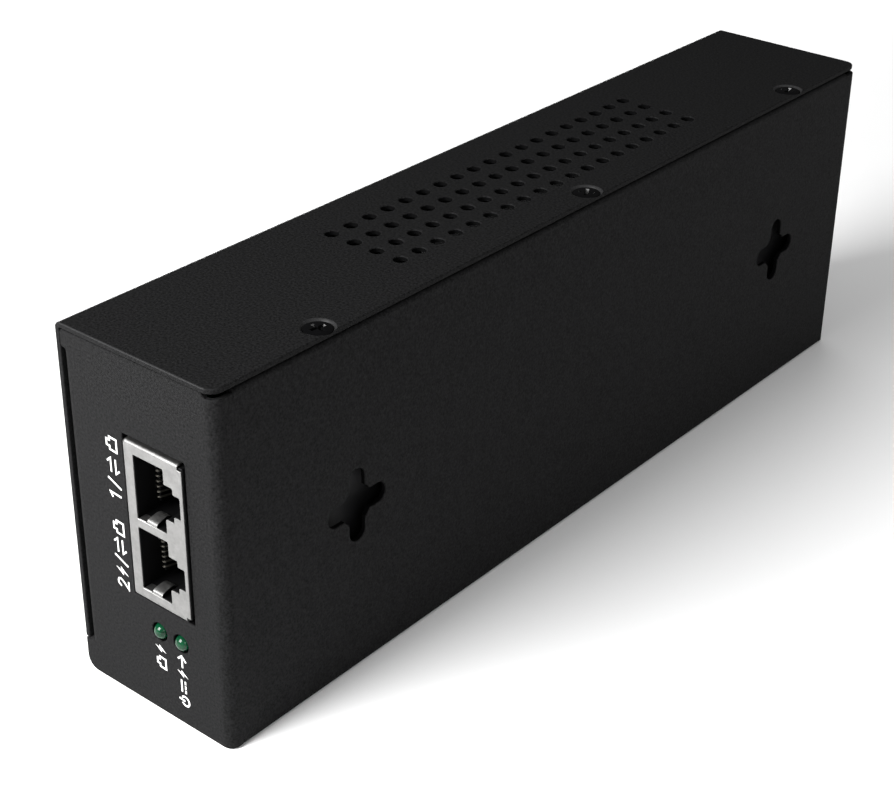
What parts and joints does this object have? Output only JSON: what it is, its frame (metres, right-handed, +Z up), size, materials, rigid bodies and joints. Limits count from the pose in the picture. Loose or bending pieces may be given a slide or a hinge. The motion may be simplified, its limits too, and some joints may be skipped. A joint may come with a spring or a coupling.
{
  "type": "poe injector",
  "caption": "Slim folded-steel power injector: vented edge, keyholes for wall mounting, a stacked network jack with status lights at one end and a mains inlet at the other.",
  "frame": {"origin": "middle of the underside, halfway along and across the case", "axes": "+X out of the wall-mount face with the keyholes, +Y from the jack end to the mains inlet end, +Z up to the vented edge"},
  "size_m": [0.037, 0.2038, 0.07],
  "materials": {
    "black_powder_coat": "matte black powder coat with a fine grain",
    "nickel_plate": "bright nickel plate on thin stamped sheet",
    "zinc_steel": "zinc-plated steel",
    "black_oxide": "black oxide on steel, satin",
    "black_plastic": "black glass-filled moulding",
    "gold_plate": "gold-plated spring wire on a moulded bar",
    "green_lens": "green tinted diffused resin",
    "board_laminate": "green solder mask on glass-fibre laminate",
    "insulating_film": "dark satin insulating film",
    "brass": "plain brass",
    "tinned_brass": "tin-plated brass",
    "glass_fuse": "glazed ceramic tube",
    "yellow_tape": "yellow polyester tape",
    "enamelled_copper": "enamelled copper wire",
    "ferrite": "pressed and ground ferrite",
    "aluminium": "plain rolled aluminium",
    "capacitor_sleeve": "shrunk plastic sleeve",
    "epoxy_body": "moulded black epoxy",
    "blue_ceramic": "blue dipped ceramic",
    "brown_insulation": "brown wire insulation",
    "blue_insulation": "blue wire insulation",
    "green_yellow_insulation": "green and yellow wire insulation"
  },
  "bodies": {
    "case": {"base_chassis": "black_powder_coat", "cover": "black_powder_coat", "cover_screw_front": "black_oxide", "cover_screw_middle": "black_oxide", "cover_screw_rear": "black_oxide", "main_board": "board_laminate", "insulating_film": "insulating_film", "standoff_1": "brass", "standoff_2": "brass", "standoff_3": "brass", "standoff_4": "brass", "board_screw_1": "zinc_steel", "board_screw_2": "zinc_steel", "board_screw_3": "zinc_steel", "board_screw_4": "zinc_steel", "jack_shield": "nickel_plate", "jack_housing": "black_plastic", "light_output": "green_lens", "light_power": "green_lens", "light_holder": "black_plastic", "inlet_housing": "black_plastic", "inlet_pin_line": "tinned_brass", "inlet_pin_neutral": "tinned_brass", "inlet_pin_earth": "tinned_brass", "inlet_screw_lower": "zinc_steel", "inlet_screw_upper": "zinc_steel", "inlet_nut_lower": "zinc_steel", "inlet_nut_upper": "zinc_steel", "earth_lug": "tinned_brass", "earth_screw": "zinc_steel", "lead_line": "brown_insulation", "lead_neutral": "blue_insulation", "lead_earth": "green_yellow_insulation", "fuse_holder": "black_plastic", "fuse": "glass_fuse", "x_capacitor": "yellow_tape", "choke_core": "ferrite", "choke_winding_a": "enamelled_copper", "choke_winding_b": "enamelled_copper", "y_capacitor": "blue_ceramic", "bridge_rectifier": "epoxy_body", "bulk_capacitor": "capacitor_sleeve", "primary_heatsink": "aluminium", "switch_transistor": "epoxy_body", "transformer_winding": "yellow_tape", "transformer_core": "ferrite", "secondary_heatsink": "aluminium", "output_rectifier": "epoxy_body", "output_capacitor_1": "capacitor_sleeve", "output_capacitor_2": "capacitor_sleeve", "optocoupler": "epoxy_body", "controller_chip": "epoxy_body", "line_transformer_1": "epoxy_body", "line_transformer_2": "epoxy_body"},
    "contacts_lower": {"contacts_lower": "gold_plate"},
    "contacts_upper": {"contacts_upper": "gold_plate"},
    "ground_spring_lower": {"ground_spring_lower": "nickel_plate"},
    "ground_spring_upper": {"ground_spring_upper": "nickel_plate"}
  },
  "joints": [
    {"name": "contacts_lower_flex", "type": "hinge", "parent": "case", "child": "contacts_lower", "pos_m": [-0.0001, -0.096, 0.03162], "axis": [0, 0, 1], "range_deg": [0, 10], "stiffness_Nm_per_rad": 0.35},
    {"name": "ground_spring_lower_flex", "type": "hinge", "parent": "case", "child": "ground_spring_lower", "pos_m": [0.0027, -0.09985, 0.02592], "axis": [1, 0, 0], "range_deg": [-8, 0], "stiffness_Nm_per_rad": 0.05},
    {"name": "contacts_upper_flex", "type": "hinge", "parent": "case", "child": "contacts_upper", "pos_m": [-0.0001, -0.096, 0.04559], "axis": [0, 0, 1], "range_deg": [0, 10], "stiffness_Nm_per_rad": 0.35},
    {"name": "ground_spring_upper_flex", "type": "hinge", "parent": "case", "child": "ground_spring_upper", "pos_m": [0.0027, -0.09985, 0.03989], "axis": [1, 0, 0], "range_deg": [-8, 0], "stiffness_Nm_per_rad": 0.05}
  ]
}
